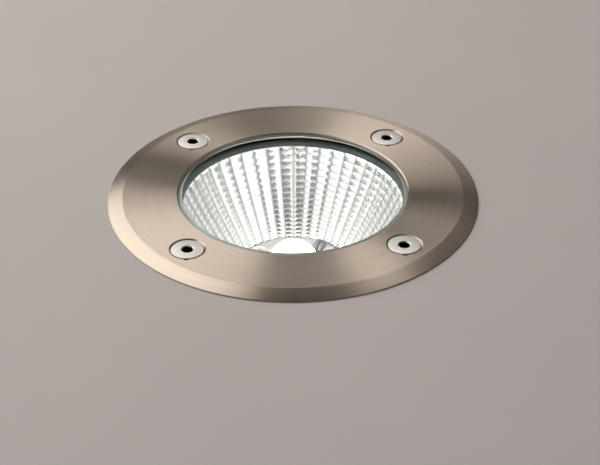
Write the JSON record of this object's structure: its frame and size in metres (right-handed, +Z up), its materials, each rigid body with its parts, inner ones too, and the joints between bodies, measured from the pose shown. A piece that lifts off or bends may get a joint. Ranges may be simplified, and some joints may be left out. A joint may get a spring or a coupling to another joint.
{
  "type": "in ground well light",
  "caption": "Round walk-over ground light: brushed steel bezel over stepped glass, facetted reflector and lit LED dome, finned cast housing with driver and gland, in a plastic ground sleeve.",
  "frame": {"origin": "on the light's centre line at paving level: the top of the sleeve's collar and the underside of the bezel's outer land", "axes": "+Z up out of the ground along the centre line; -Y towards the viewer of the picture; +X to the viewer's right"},
  "size_m": [0.11, 0.11, 0.1318],
  "materials": {
    "bezel_steel": "satin, fine concentric brushing",
    "screw_steel": "fine turned",
    "clear_glass": "polished, toughened",
    "silicone_rubber": "matte moulded",
    "cast_aluminium": "die-cast, satin",
    "reflector_silver": "vacuum-metallised, mirror",
    "lit_silicone": "translucent, lit",
    "board_white": "white solder mask",
    "pad_grey": "soft, matte",
    "lead_insulation": "smooth insulation",
    "driver_plastic": "fine spark-eroded",
    "board_green": "solder mask",
    "component_black": "moulded",
    "terminal_plastic": "moulded",
    "brass": "turned",
    "gland_nylon": "moulded",
    "sleeve_plastic": "moulded, fine texture"
  },
  "bodies": {
    "ground": {"ground_sleeve": "sleeve_plastic", "sleeve_collar": "sleeve_plastic"},
    "unit": {"lamp_housing": "cast_aluminium", "reflector": "reflector_silver", "led_dome": "lit_silicone", "led_board": "board_white", "led_board_screws": "screw_steel", "thermal_pad": "pad_grey", "lead_grommet": "silicone_rubber", "led_leads": "lead_insulation", "driver_case": "driver_plastic", "driver_screws": "screw_steel", "driver_lid": "driver_plastic", "driver_board": "board_green", "driver_components": "component_black", "driver_leads": "lead_insulation", "terminal_block": "terminal_plastic", "terminal_clamp_screws": "brass", "terminal_fixing_screws": "screw_steel", "earth_screw": "brass", "earth_washer": "brass", "base_cover": "cast_aluminium", "base_seal": "silicone_rubber", "base_screws": "screw_steel", "gland_body": "gland_nylon", "gland_washer": "silicone_rubber", "gland_seal": "silicone_rubber", "gland_nut": "gland_nylon", "gland_locknut": "gland_nylon"},
    "bezel": {"bezel_ring": "bezel_steel", "bezel_screws": "screw_steel", "glass_lens": "clear_glass", "glass_gasket": "silicone_rubber"}
  },
  "joints": [
    {"name": "unit_lift", "type": "slide", "parent": "ground", "child": "unit", "axis": [0, 0, 1], "range_m": [0, 0.12]},
    {"name": "bezel_lift", "type": "slide", "parent": "unit", "child": "bezel", "axis": [0, 0, 1], "range_m": [0, 0.03]}
  ]
}
